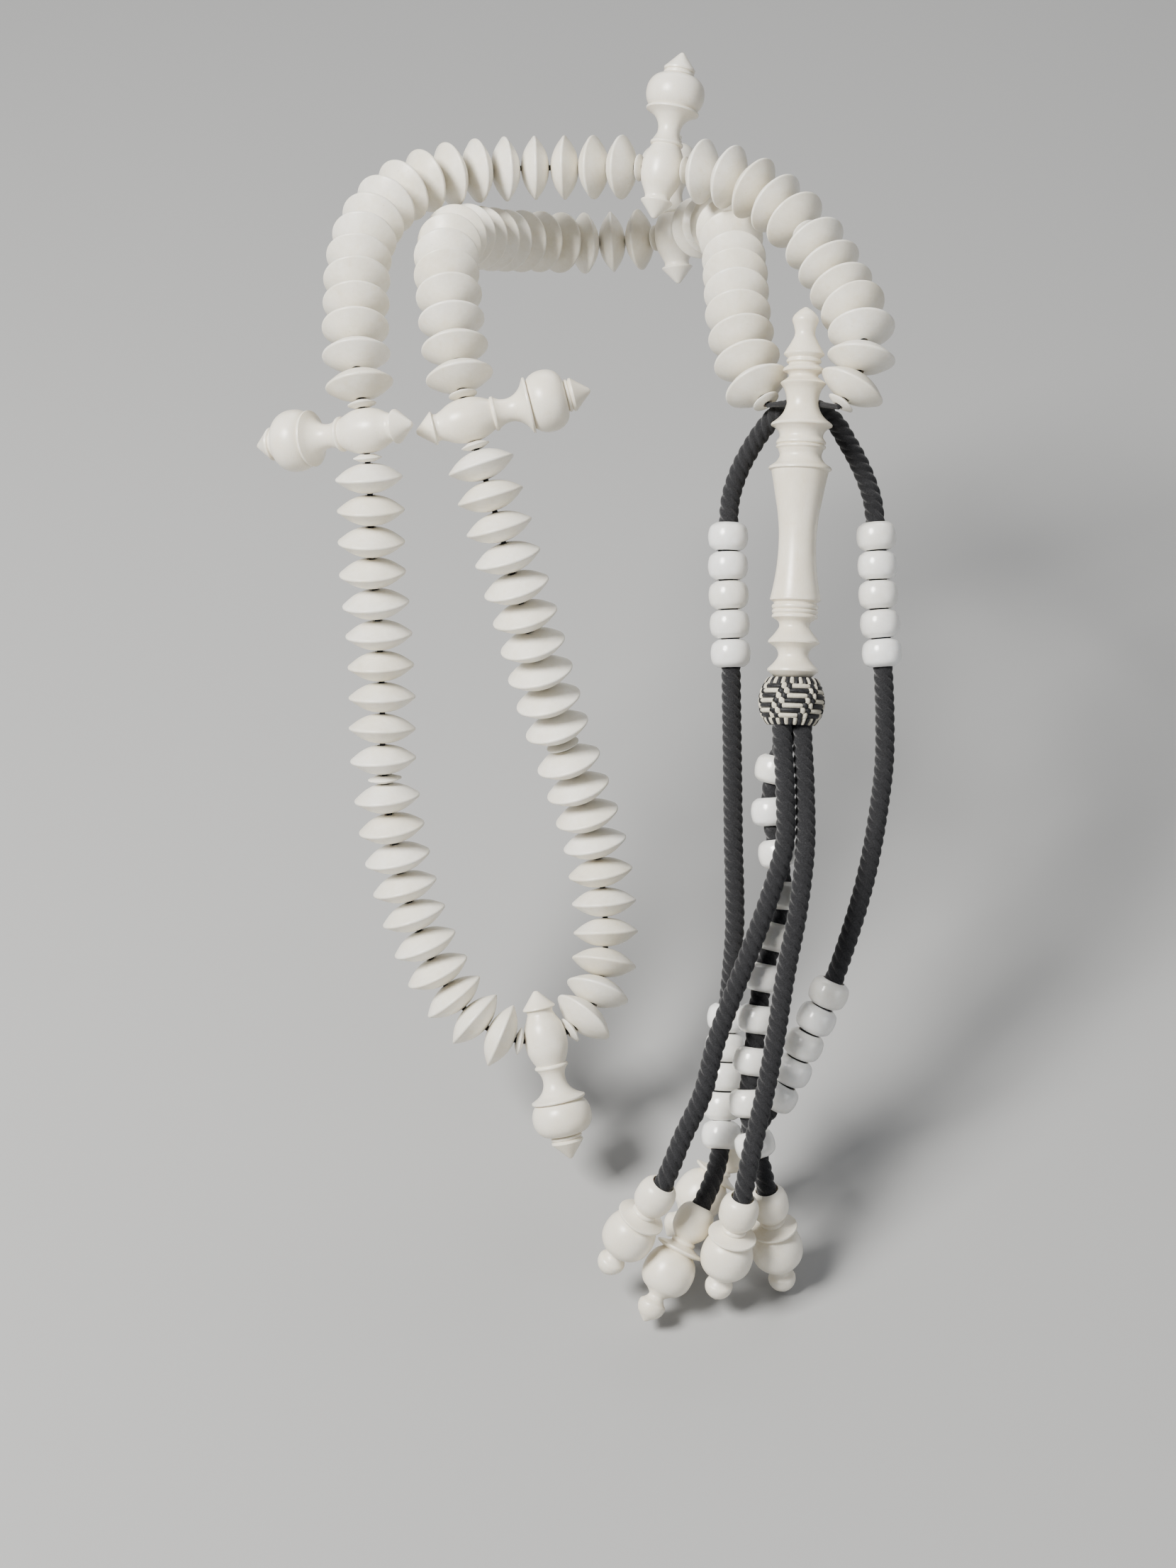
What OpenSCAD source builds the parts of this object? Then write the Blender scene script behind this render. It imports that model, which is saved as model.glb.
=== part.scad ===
// Misbaha prayer beads: a string of one hundred lens beads with five marker beads,
// a long turned head piece, a woven bead and five cords with counting rings and
// turned pendants. Lengths are in millimetres, angles in degrees.
// The string lies draped over the front edge of a low stand, which is not part of
// the object. The origin is the middle of that edge: X right, Y back, Z up.

/* [Lens beads] */
// Diameter of a lens bead
bead_d = 14; // [10:0.1:14.4]
// Thickness of a lens bead along the string
bead_t = 6.3; // [4:0.1:6.35]
// Diameter of the hole through beads, discs and markers
bore_d = 1.9; // [1.6:0.1:2.4]
// Diameter of the main string
string_d = 1.2; // [0.8:0.1:1.4]

/* [Spacer discs] */
// Diameter of a spacer disc
disc_d = 5.9; // [4:0.1:6.5]
// Diameter of the disc in the middle of a long run
mid_disc_d = 7.1; // [5:0.1:8]
// Thickness of a spacer disc
disc_t = 1.5; // [0.8:0.1:1.6]

/* [Counting rings] */
// Diameter of a counting ring
ring_d = 8.4; // [6:0.1:8.6]
// Height of a counting ring
ring_h = 5.8; // [4:0.1:5.9]
// Diameter of its flat end faces
ring_end_d = 5.2; // [4.8:0.1:6]

/* [Cords] */
// Diameter of a side cord
cord_d = 4; // [3:0.1:4]
// Free space round a cord inside a ring or a pendant
cord_gap = 0.3; // [0.05:0.05:0.35]

/* [Pendants] */
// Diameter of the ball of a pendant
ball_d = 10.8; // [8:0.1:11]
// Diameter of the saucer above the ball
saucer_d = 10.1; // [8:0.1:10.5]

/* [Head and woven bead] */
// Lean of the head piece and the cords from upright
lean = 42; // [40:0.5:44]
// Diameter of the woven bead
woven_d = 13.7; // [12:0.1:14]
// Height of the woven bead
woven_h = 9.7; // [8:0.1:10]

/* [Hidden] */
$fn = 96;

ivory = [0.9, 0.87, 0.79];
white = [0.95, 0.95, 0.93];
black = [0.06, 0.06, 0.07];

// Vector and curve helpers.
function unit(v) = v / norm(v);
function slope(p, i) =
  i == 0 ? unit(p[1] - p[0]) :
  i == len(p) - 1 ? unit(p[i] - p[i - 1]) :
  let (a = p[i] - p[i - 1], b = p[i + 1] - p[i])
  unit(unit(a) * norm(b) + unit(b) * norm(a));
function hermite(a, b, u, v, t) =
  let (d = norm(b - a), q = t * t, c = q * t)
  a * (2 * c - 3 * q + 1) + b * (3 * q - 2 * c)
  + u * (d * (c - 2 * q + t)) + v * (d * (c - q));
// A smooth curve through the points, with n steps from each point to the next.
function smooth(p, n) = concat(
  [for (i = [0 : len(p) - 2]) for (k = [0 : n - 1])
    hermite(p[i], p[i + 1], slope(p, i), slope(p, i + 1), k / n)],
  [p[len(p) - 1]]);
// Running length of a list of points.
function lengths(q) = [for (i = 0, s = 0; i < len(q);
  s = i + 1 < len(q) ? s + norm(q[i + 1] - q[i]) : s, i = i + 1) s];
function column(s, q, k) = [for (i = [0 : len(q) - 1]) [s[i], q[i][k]]];
// Point on the curve q (running length s) at the length x.
function along(s, q, x) = [for (k = [0 : 2]) lookup(x, column(s, q, k))];
function heading(s, q, x) = unit(along(s, q, x + 1) - along(s, q, x - 1));

// A round tube swept along a list of points.
module tube(path, radius, sides) {
  n = len(path);
  t = [for (i = [0 : n - 1]) unit(path[min(i + 1, n - 1)] - path[max(i - 1, 0)])];
  first = unit(cross(t[0], [0.31, 0.17, 0.93]));
  u = [for (i = 0, w = first; i < n;
    w = i + 1 < n ? unit(w - t[i + 1] * (w * t[i + 1])) : w, i = i + 1) w];
  pts = [for (i = [0 : n - 1]) for (k = [0 : sides - 1])
    path[i] + radius * (cos(360 * k / sides) * u[i]
      + sin(360 * k / sides) * cross(t[i], u[i]))];
  walls = [for (i = [0 : n - 2]) for (k = [0 : sides - 1])
    let (a = i * sides, b = a + sides, m = (k + 1) % sides)
    [a + k, b + k, b + m, a + m]];
  foot = [for (k = [0 : sides - 1]) k];
  top = [for (k = [0 : sides - 1]) n * sides - 1 - k];
  polyhedron(points = pts, faces = concat(walls, [foot], [top]), convexity = 8);
}

// A solid of revolution from rows of [height, radius].
module turned(rows) {
  n = len(rows);
  rotate_extrude()
    polygon(concat([[0, rows[0][0]]], [for (r = rows) [r[1], r[0]]],
      [[0, rows[n - 1][0]]]));
}

// Puts the Z axis of a piece along dir at the point pos.
module aim(pos, dir) {
  translate(pos)
    rotate([0, acos(dir[2] / norm(dir)), atan2(dir[1], dir[0])])
      children();
}

// ---- The string: its route through all beads, from neck hole to neck hole. ----
neck = [44, -5.8, 4];
left_end = [37.2, -3.6, 2.2];
right_end = [50.9, -9.4, 5.6];
middle = [-9, -77, -111];
left_half = [left_end, [35, 0.5, 4], [32, 13, 8.5], [31.5, 26, 11],
  [31.5, 39, 11.5], [30.5, 54, 10.5], [25, 70, 1], [19.5, 76, -4.5],
  [12.5, 79.5, -7.5], [-0.5, 79.5, -8.5], [-11, 72.5, -4], [-18.5, 63.5, 1.5],
  [-24, 53.5, 8], [-28.5, 43, 14.5], [-30, 30, 17], [-29, 17, 15.5],
  [-27.5, 5, 10.5], [-24.5, -8, 1.5], [-20, -18, -10.5], [-16.5, -24.5, -21.5],
  [-13, -29, -33.5], [-10, -32.5, -45.5], [-6.5, -36, -58], [-2, -40.5, -71.5],
  [1.5, -45, -83], [3.5, -52, -94], [3.4, -61.5, -103.6],
  [-0.1, -70.7, -108.6], [-5.3, -75.4, -110.6], middle];
right_half = [middle, [-14.7, -77.8, -110.1], [-19.9, -76.7, -108.7],
  [-28.4, -71.6, -103.4], [-35, -65, -92.5],
  [-39, -58.5, -82], [-41.5, -52.5, -70.5], [-43, -45, -57.5], [-43, -38, -46.5],
  [-43.5, -31.5, -35], [-44.5, -26, -23], [-44.5, -20.5, -11], [-45.5, -12, 2.5],
  [-47.5, 0.5, 12.5], [-48, 13, 17], [-48, 25.5, 20], [-45.5, 38.5, 21.5],
  [-39.5, 50, 22], [-29.5, 58.5, 21], [-17, 63.5, 19.5], [-4, 64, 19.5],
  [8.5, 60.5, 21.5], [17, 57, 23], [31, 49.5, 25], [40.5, 40.5, 23.5],
  [48, 28, 21], [53, 16, 17.4], [56.2, 3.1, 14.7], [54.2, -5.7, 8.7], right_end];
left_curve = smooth(left_half, 6);
right_curve = smooth(right_half, 6);
left_run = lengths(left_curve);
right_run = lengths(right_curve);
left_len = left_run[len(left_run) - 1];
right_len = right_run[len(right_run) - 1];

// Order of pieces from the middle marker outwards, the same on both sides:
// "m" marker, "s" spacer disc, "d" disc in the middle of a long run, "b" bead.
order = concat(["m", "s"], [for (k = [1 : 10]) "b"], ["d"], [for (k = [1 : 10]) "b"],
  ["s", "m", "s"], [for (k = [1 : 18]) "b"], ["s", "m", "s"],
  [for (k = [1 : 5]) "b"], ["s"], [for (k = [1 : 7]) "b"], ["s"]);
bead_half = 3.3;
disc_half = 0.85;
marker_half = 4.65;
mid_marker_half = 5;
function half(i) = i == 0 ? mid_marker_half : order[i] == "b" ? bead_half :
  order[i] == "m" ? marker_half : disc_half;
offsets = [for (i = 0, x = 0; i < len(order);
  x = i + 1 < len(order) ? x + half(i) + half(i + 1) : x, i = i + 1) x];
full = offsets[len(order) - 1] + disc_half + 0.2;
// Place of piece i on the left side (side 0) or the right side (side 1).
function place(side, i) = side == 0
  ? along(left_run, left_curve, left_len - offsets[i] * left_len / full)
  : along(right_run, right_curve, offsets[i] * right_len / full);
function facing(side, i) = side == 0
  ? heading(left_run, left_curve, left_len - offsets[i] * left_len / full)
  : heading(right_run, right_curve, offsets[i] * right_len / full);
marker_1_i = 24;
marker_5_i = 45;
run_first = [2, 26, 47];
run_last = [22, 43, 59];

flank = 38;
// A lens bead: two ball caps that run tangent into flat flanks, cut off at a narrow rim.
module lens() {
  edge_r = bead_d / 2 + 0.1;
  cap_r = (edge_r - bead_t / 2 / tan(flank)) / (sin(flank) - (1 - cos(flank)) / tan(flank));
  join_r = cap_r * sin(flank);
  rise = edge_r * tan(flank);
  rotate_extrude()
    intersection() {
      union() {
        intersection() {
          translate([0, bead_t / 2 - cap_r])
            circle(cap_r);
          translate([0, cap_r - bead_t / 2])
            circle(cap_r);
        }
        translate([join_r, -bead_t])
          square([bead_d, 2 * bead_t]);
      }
      polygon([[0, -rise], [edge_r, 0], [0, rise]]);
      translate([bore_d / 2, -bead_t])
        square([bead_d / 2 - bore_d / 2, 2 * bead_t]);
    }
}

// A spacer disc with a sharp rim.
module disc(d) {
  e = 0.15;
  difference() {
    turned([[-disc_t / 2, d / 4], [-e, d / 2 - e], [0, d / 2], [e, d / 2 - e],
      [disc_t / 2, d / 4]]);
    cylinder(h = 2 * disc_t, d = bore_d, center = true);
  }
}

belly = 11;
marker_bore_d = 3.4;
marker_rows = concat(
  [[0, 0.3], [0.3, 0.7], [3.5, 3.45], [3.7, 3.5], [3.9, 3.3]],
  smooth([[4, 2.9], [4.6, 2.75], [5.6, 3.1], [7.5, 4.05], [9.3, 4.5], [belly, 4.6],
    [12.8, 4.45], [14.6, 3.85], [16, 3.15]], 3),
  [[16.2, 3.5], [16.5, 3.6], [16.8, 3.5]],
  smooth([[16.9, 3.3], [17.8, 2.75], [19.7, 2.45], [21.3, 2.95], [22.6, 4.1],
    [23.3, 5.3]], 3),
  [[23.5, 5.75], [23.8, 5.8], [24, 5.7]],
  smooth([[24.05, 4.9], [25, 5.75], [26.2, 6.25], [27.6, 6.4], [29, 6.2],
    [30.2, 5.6], [31.1, 4.6], [31.5, 3.5]], 3),
  [[31.6, 3], [31.8, 3.35], [32.2, 3.35], [32.4, 3], [32.5, 3], [32.7, 3.4],
    [33.1, 3.45], [36.4, 0.6], [36.7, 0.2]]);

// A marker: long axis along dir, string hole through the belly along the string.
module marker(pos, tangent, dir) {
  long = unit(dir - tangent * (dir * tangent));
  polar = acos(long[2]);
  turn = atan2(long[1], long[0]);
  side_x = [cos(polar) * cos(turn), cos(polar) * sin(turn), -sin(polar)];
  side_y = [-sin(turn), cos(turn), 0];
  roll = atan2(tangent * side_y, tangent * side_x);
  color(ivory)
    translate(pos)
      rotate([0, polar, turn])
        rotate([0, 0, roll])
          difference() {
            translate([0, 0, -belly])
              turned(marker_rows);
            rotate([0, 90, 0])
              cylinder(h = 12, d = marker_bore_d, center = true);
          }
}
module marker_1() { marker(place(0, marker_1_i), facing(0, marker_1_i), [0.97, 0.17, 0.19]); }
module marker_2() { marker(place(0, 0), unit(facing(0, 1) + facing(1, 1)), [0.12, -0.67, -0.74]); }
module marker_3() { marker(place(1, marker_1_i), facing(1, marker_1_i), [-0.88, 0.2, -0.4]); }
module marker_4() { marker(place(1, marker_5_i), facing(1, marker_5_i), [0.17, 0.66, 0.73]); }
module marker_5() { marker(place(0, marker_5_i), facing(0, marker_5_i), [-0.15, 0.66, 0.73]); }

// One run of lens beads: run 0 is next to the middle marker, run 2 next to the head.
module lens_run(side, run) {
  color(ivory)
    for (i = [run_first[run] : run_last[run]])
      if (order[i] == "b")
        aim(place(side, i), facing(side, i))
          lens();
}
module lens_run_1() { lens_run(0, 2); }
module lens_run_2() { lens_run(0, 1); }
module lens_run_3() { lens_run(0, 0); }
module lens_run_4() { lens_run(1, 0); }
module lens_run_5() { lens_run(1, 1); }
module lens_run_6() { lens_run(1, 2); }

module spacer_discs() {
  color(white)
    for (side = [0, 1])
      for (i = [0 : len(order) - 1])
        if (order[i] == "s" || order[i] == "d")
          aim(place(side, i), facing(side, i))
            disc(order[i] == "d" ? mid_disc_d : disc_d);
}

knot_r = 1.5;
string_step = 3.6;
module main_string() {
  n = floor(left_len / string_step);
  m = floor(right_len / string_step);
  // The two ends run straight from the last disc into the neck of the head.
  lead = [neck + [-knot_r - 0.1, 0, 0], neck + [-3.2, 0, 0], neck + [-4.6, 0.5, -0.4]];
  tail = [neck + [4.4, -1.2, 0.5], neck + [3.2, 0, 0], neck + [knot_r + 0.1, 0, 0]];
  color(black)
    tube(concat(lead,
      [for (i = [0 : n]) along(left_run, left_curve, i * left_len / n)],
      [for (i = [1 : m]) along(right_run, right_curve, i * right_len / m)],
      tail), string_d / 2, 8);
}

// ---- The leaning group: head, woven bead, cords, rings and pendants. ----
// A point given as [across, down the lean, out towards the front].
function leaning(p) = [p[0], -p[1] * sin(lean) - p[2] * cos(lean),
  -p[1] * cos(lean) + p[2] * sin(lean)];

head_tilt = 2.1;
hole_down = 19.8;
head_len = 76;
head_rows = concat(
  smooth([[0, 0.3], [0.9, 1.6], [2.5, 2.7], [4, 2.3], [5.4, 2.05], [7.5, 2.9]], 3),
  [[9.5, 4.15], [9.8, 4.15], [10.5, 3.3], [10.7, 3.3], [10.9, 3.6], [11.3, 3.6],
    [11.6, 3.15], [11.9, 3.1], [12.7, 4.2], [13.2, 4.2]],
  smooth([[13.5, 3.4], [14.1, 2.95], [14.8, 3.6], [15.5, 4.6]], 3),
  smooth([[15.9, 4.6], [16.8, 3.9], [18, 3.45], [19.8, 3.3], [21.5, 3.8],
    [23, 5], [23.9, 6.2]], 3),
  [[24.2, 6.3], [24.5, 6.2]],
  smooth([[24.7, 5.6], [25.6, 4.7], [26.8, 4.5], [27.4, 4.95]], 2),
  [[27.7, 5.1], [28, 5.1], [28.3, 4.75], [28.5, 5.1], [28.9, 5.1]],
  smooth([[29.1, 4.7], [30.5, 4.3], [31.7, 4.9], [32.8, 6.35]], 3),
  [[33.1, 6.45], [33.4, 6.4]],
  smooth([[33.6, 5.9], [35.5, 5.5], [38.8, 4.9], [42.5, 4.25], [46, 3.9], [50.6, 3.9],
    [55, 4.3], [58, 4.8], [59.6, 5.15]], 3),
  [[60, 5.2], [60.3, 5.1], [60.6, 4.4], [61, 4.35], [61.3, 4.75], [61.8, 4.75],
    [62.05, 4.4], [62.3, 4.7], [62.7, 4.7], [63, 4.4], [63.3, 4.7], [63.7, 4.7]],
  smooth([[64, 4.2], [64.7, 3.3], [65.4, 3.1], [66.6, 3.7], [68.3, 5.15]], 3),
  [[68.7, 5.3], [69.1, 5.2]],
  smooth([[69.3, 4.6], [70.2, 3.5], [71.4, 3.1], [72.8, 3.8], [74.1, 5.1]], 3),
  [[74.4, 5.2], [74.8, 5.2], [75.5, 4.3], [head_len, 3.6]]);

// Children stand in the frame of the head: origin at its neck hole, Z up its axis.
module on_head() {
  translate(neck)
    rotate([-lean, 0, 0])
      rotate([0, head_tilt, 0])
        children();
}
knot_room_r = 1.75;
core_bore_d = 2.2;
module head_piece() {
  color(ivory)
    on_head()
      difference() {
        translate([0, 0, hole_down])
          mirror([0, 0, 1])
            turned(head_rows);
        // Cross hole for the string, room for its knot, bore for the core string.
        rotate([0, 90, 0])
          cylinder(h = 14, d = bore_d, center = true);
        sphere(r = knot_room_r);
        translate([0, 0, hole_down - head_len - 1])
          cylinder(h = head_len - hole_down + 1, d = core_bore_d);
      }
}
module string_knot() {
  color(black)
    on_head()
      difference() {
        sphere(r = knot_r);
        translate([0, 0, -2 * knot_r])
          cylinder(h = 2 * knot_r - 1, r = knot_r);
      }
}

base_z = hole_down - head_len;
woven_top = base_z - 0.05;
woven_mid = woven_top - woven_h / 2;
woven_bore_r = 4.75;
core_d = 1.8;
knot_top = woven_top - 0.6;
knot_foot = woven_top - 3.4;
module core_string() {
  color(black)
    on_head()
      translate([0, 0, knot_top])
        cylinder(h = -knot_room_r - 0.2 - knot_top, d = core_d);
}
module woven_bead() {
  color([0.75, 0.71, 0.6])
    on_head()
      translate([0, 0, woven_mid])
        difference() {
          rotate_extrude()
            intersection() {
              translate([-1, 0])
                circle(woven_d / 2 + 1);
              translate([0, -woven_h / 2])
                square([woven_d / 2, woven_h]);
            }
          cylinder(h = 2 * woven_h, r = woven_bore_r, center = true);
        }
}
module bundle_knot() {
  color(black)
    on_head()
      translate([0, 0, knot_foot])
        cylinder(h = knot_top - knot_foot - 0.05, r = woven_bore_r - 0.1);
}

// Cord routes, each as [across, down the lean, out towards the front].
bind_down = 1.3;
bind_out = 1.4;
route_a = [[43.2, bind_down, bind_out], [40.5, 1.3, 1.3], [37.4, 4.1, -0.1],
  [34.3, 8.4, -1.5], [31.2, 14.5, -2.6], [29.6, 20.5, -3], [29.4, 24, -3],
  [29.9, 55, -3.3], [30.4, 90, -3.7], [30.6, 111, -4], [30, 119, -4.8],
  [29.2, 127.5, -5.2], [28.3, 142, -5], [28, 150, -4.6], [27.8, 154, -4],
  [27, 158.4, -2.8], [25.5, 162.6, -1.4], [23.5, 166.6, -0.2]];
route_b = [[44.8, bind_down, bind_out], [47.5, 1.3, 1.3], [50.5, 3, 0.4],
  [54.2, 8, -1.2], [57.5, 14, -2.6], [59.5, 20, -3], [60, 24, -3],
  [60.7, 39.5, -3.2], [62.1, 66, -3.6], [62, 74, -3.8], [60.9, 84, -4.2],
  [58.4, 98, -5], [54.5, 112, -6.2], [50.9, 122.5, -7.8], [46, 133, -9.4],
  [41.5, 143, -11], [37.3, 149.6, -12], [33.3, 154.3, -12.6]];
route_c = [[39.7, 61.2, 8.5], [39.6, 67, 9], [40.2, 80, 10.4], [40, 91.5, 10.5],
  [37.8, 99.5, 10.5], [34.3, 109.5, 10.5], [29.3, 122.5, 10.5], [26.1, 131.5, 10.5],
  [23.2, 142.5, 10.5], [19, 151.5, 10.8], [17, 156.5, 11.2], [15.4, 160.3, 10.6]];
route_d = [[43.8, 61.2, 8.5], [43.8, 67, 8.5], [44.3, 80, 9.3], [44.3, 91.5, 10.2],
  [42.8, 104.5, 10.5], [40.3, 117.5, 10.5], [38, 132, 10.5], [35.5, 144.5, 10.5],
  [33.6, 152.5, 11], [32.3, 158.5, 11.6], [31.5, 163, 10.9]];
route_e = [[41.7, 61.2, 4.9], [41.4, 67, 4.3], [38.7, 75.5, 3.3], [37.8, 84, 3.1],
  [39.3, 93, 3.3], [40, 101.5, 3.3], [38.4, 110, 3.3], [36.2, 118.5, 3.3],
  [35, 127, 3.3], [34.1, 135.5, 3.3], [33.2, 144, 3.3], [34, 151.5, 3.4],
  [35.7, 157.5, 3.7], [36.9, 162.6, 3.2]];
// Down direction of each pendant.
down_a = [-0.45, 0.89, 0.08];
down_b = [-0.62, 0.78, 0];
down_c = [-0.46, 0.77, -0.44];
down_d = [-0.19, 0.87, -0.45];
down_e = [0.17, 0.88, -0.44];

// A cord ends on the knot inside its pendant, a little below the pendant's top.
knot_drop = 4;
end_knot_r = 2.7;
cord_in = knot_drop - end_knot_r + 0.7;
function last(p) = p[len(p) - 1];
function whole(route, down) = [for (p = concat(route,
  [last(route) + unit(down) * cord_in])) leaning(p)];
cord_step = 4;
cord_lead = 1;
module cord(route, down) {
  q = smooth(whole(route, down), 8);
  s = lengths(q);
  // Short straight ends keep both end faces square to the cord.
  span = last(s) - cord_in - cord_lead;
  n = ceil(span / cord_step);
  color(black)
    tube(concat([q[0]], [for (i = [0 : n]) along(s, q, cord_lead + i * span / n)], [last(q)]),
      cord_d / 2, 10);
}
module cord_a() { cord(route_a, down_a); }
module cord_b() { cord(route_b, down_b); }
module cord_c() { cord(route_c, down_c); }
module cord_d_left() { cord(route_d, down_d); }
module cord_e() { cord(route_e, down_e); }

// The whipping that joins cords A and B behind the neck.
module cord_binding() {
  color(black)
    translate(leaning([44, bind_down, bind_out]))
      rotate([-lean, 0, 0])
        rotate([0, 90, 0])
          cylinder(h = 1.4, d = cord_d, center = true);
}

// A counting ring: barrel round, flat at both ends.
module ring() {
  e = ring_end_d / 2;
  m = ring_d / 2;
  difference() {
    turned(smooth([[-ring_h / 2, e], [-0.36 * ring_h, e + 0.72 * (m - e)],
      [-0.17 * ring_h, m - 0.1], [0, m], [0.17 * ring_h, m - 0.1],
      [0.36 * ring_h, e + 0.72 * (m - e)], [ring_h / 2, e]], 3));
    cylinder(h = 2 * ring_h, d = cord_d + 2 * cord_gap, center = true);
  }
}
// Rings first to last on a cord; start is the length along the cord to the first.
module rings(route, down, start, pitch, first, count) {
  q = smooth(whole(route, down), 8);
  s = lengths(q);
  color(white)
    for (i = [first : first + count - 1])
      aim(along(s, q, start + i * pitch), heading(s, q, start + i * pitch))
        ring();
}
ring_pitch = 6.1;
low_pitch = 6.15;
a_top = 32.6;
a_low = 133.4;
b_top = 33.3;
b_low = 130.8;
e_top = 15.3;
e_pitch = 8.7;
module ring_a1() { rings(route_a, down_a, a_top, ring_pitch, 0, 1); }
module ring_a2() { rings(route_a, down_a, a_top, ring_pitch, 1, 1); }
module ring_a3() { rings(route_a, down_a, a_top, ring_pitch, 2, 1); }
module ring_a4() { rings(route_a, down_a, a_top, ring_pitch, 3, 1); }
module ring_a5() { rings(route_a, down_a, a_top, ring_pitch, 4, 1); }
module rings_a_low() { rings(route_a, down_a, a_low, low_pitch, 0, 5); }
module rings_b_top() { rings(route_b, down_b, b_top, ring_pitch, 0, 3); }
module ring_b4() { rings(route_b, down_b, b_top, ring_pitch, 3, 1); }
module ring_b5() { rings(route_b, down_b, b_top, ring_pitch, 4, 1); }
module rings_b_low() { rings(route_b, down_b, b_low, low_pitch, 0, 5); }
module rings_e() { rings(route_e, down_e, e_top, e_pitch, 0, 10); }

// A pendant: round bead, collar, thin saucer, ball and a flared tip. Z runs down.
pendant_len = 26.4;
pendant_rows = concat(
  smooth([[0.05, 2.5], [0.9, 3.35], [2.3, 3.9], [4, 4], [5.7, 3.75], [7, 2.9],
    [7.7, 2.2]], 3),
  [[8, 2.6], [8.4, 2.6], [8.7, 2.4], [9.2, 3.4], [9.6, saucer_d / 2 - 0.1],
    [9.9, saucer_d / 2], [10.2, saucer_d / 2 - 0.2]],
  smooth([[10.6, 3.4], [11.6, 4.4], [13.2, 5.15], [15.4, ball_d / 2], [17.4, 5.05],
    [19, 3.9], [20, 2.3], [20.7, 1.7], [21.3, 1.9], [22.2, 2.75]], 3),
  smooth([[22.7, 2.9], [23.6, 2.8], [24.6, 2.3], [25.6, 1.2]], 2),
  [[26.2, 0.5], [pendant_len, 0.2]]);
module pendant(route, down) {
  color(ivory)
    aim(leaning(last(route)), leaning(down))
      difference() {
        turned(pendant_rows);
        translate([0, 0, -1])
          cylinder(h = knot_drop + 1, d = cord_d + 2 * cord_gap);
        translate([0, 0, knot_drop])
          sphere(r = end_knot_r + 0.15);
      }
}
module pendant_a() { pendant(route_a, down_a); }
module pendant_b() { pendant(route_b, down_b); }
module pendant_c() { pendant(route_c, down_c); }
module pendant_d() { pendant(route_d, down_d); }
module pendant_e() { pendant(route_e, down_e); }
module end_knot(route, down) {
  color(black)
    aim(leaning(last(route)), leaning(down))
      difference() {
        translate([0, 0, knot_drop])
          sphere(r = end_knot_r);
        translate([0, 0, cord_in + 0.05 - 5])
          cylinder(h = 5, r = 4);
      }
}
module end_knot_a() { end_knot(route_a, down_a); }
module end_knot_b() { end_knot(route_b, down_b); }
module end_knot_c() { end_knot(route_c, down_c); }
module end_knot_d() { end_knot(route_d, down_d); }
module end_knot_e() { end_knot(route_e, down_e); }

head_piece();
string_knot();
core_string();
woven_bead();
bundle_knot();
main_string();
spacer_discs();
marker_1();
marker_2();
marker_3();
marker_4();
marker_5();
lens_run_1();
lens_run_2();
lens_run_3();
lens_run_4();
lens_run_5();
lens_run_6();
cord_a();
cord_b();
cord_c();
cord_d_left();
cord_e();
cord_binding();
pendant_a();
pendant_b();
pendant_c();
pendant_d();
pendant_e();
end_knot_a();
end_knot_b();
end_knot_c();
end_knot_d();
end_knot_e();
ring_a1();
ring_a2();
ring_a3();
ring_a4();
ring_a5();
rings_a_low();
rings_b_top();
ring_b4();
ring_b5();
rings_b_low();
rings_e();
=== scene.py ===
import math
import random

import bpy
from mathutils import Matrix, Vector


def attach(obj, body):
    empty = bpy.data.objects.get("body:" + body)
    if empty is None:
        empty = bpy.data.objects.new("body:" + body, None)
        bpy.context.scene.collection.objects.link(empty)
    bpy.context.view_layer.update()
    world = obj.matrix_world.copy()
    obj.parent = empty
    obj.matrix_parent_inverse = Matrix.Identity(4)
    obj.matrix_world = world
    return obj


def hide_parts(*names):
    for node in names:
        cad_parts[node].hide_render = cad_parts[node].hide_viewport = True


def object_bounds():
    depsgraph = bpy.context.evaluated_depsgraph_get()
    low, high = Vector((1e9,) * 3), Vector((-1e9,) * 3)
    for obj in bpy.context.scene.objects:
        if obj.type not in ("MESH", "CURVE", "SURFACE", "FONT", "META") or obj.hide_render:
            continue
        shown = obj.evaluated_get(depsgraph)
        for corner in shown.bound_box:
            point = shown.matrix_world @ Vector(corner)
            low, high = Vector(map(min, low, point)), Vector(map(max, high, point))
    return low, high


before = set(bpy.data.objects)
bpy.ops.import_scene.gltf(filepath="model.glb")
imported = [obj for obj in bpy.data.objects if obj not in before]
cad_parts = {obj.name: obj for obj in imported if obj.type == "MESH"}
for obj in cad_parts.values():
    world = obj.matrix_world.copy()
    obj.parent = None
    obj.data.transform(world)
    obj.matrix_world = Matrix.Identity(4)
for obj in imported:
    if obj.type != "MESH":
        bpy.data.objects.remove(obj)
cad_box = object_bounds()
MM = 0.001


# ---------------------------------------------------------------- helpers
def unit(v):
    return Vector(v).normalized()


def slope(p, i):
    if i == 0:
        return (p[1] - p[0]).normalized()
    if i == len(p) - 1:
        return (p[i] - p[i - 1]).normalized()
    a = p[i] - p[i - 1]
    b = p[i + 1] - p[i]
    return (a.normalized() * b.length + b.normalized() * a.length).normalized()


def smooth(points, n):
    """A smooth curve through the points, n steps from each to the next."""
    p = [Vector(q) for q in points]
    out = []
    for i in range(len(p) - 1):
        u, v = slope(p, i), slope(p, i + 1)
        d = (p[i + 1] - p[i]).length
        for k in range(n):
            t = k / n
            q = t * t
            c = q * t
            out.append(p[i] * (2 * c - 3 * q + 1) + p[i + 1] * (3 * q - 2 * c)
                       + u * (d * (c - 2 * q + t)) + v * (d * (c - q)))
    out.append(p[-1])
    return out


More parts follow.
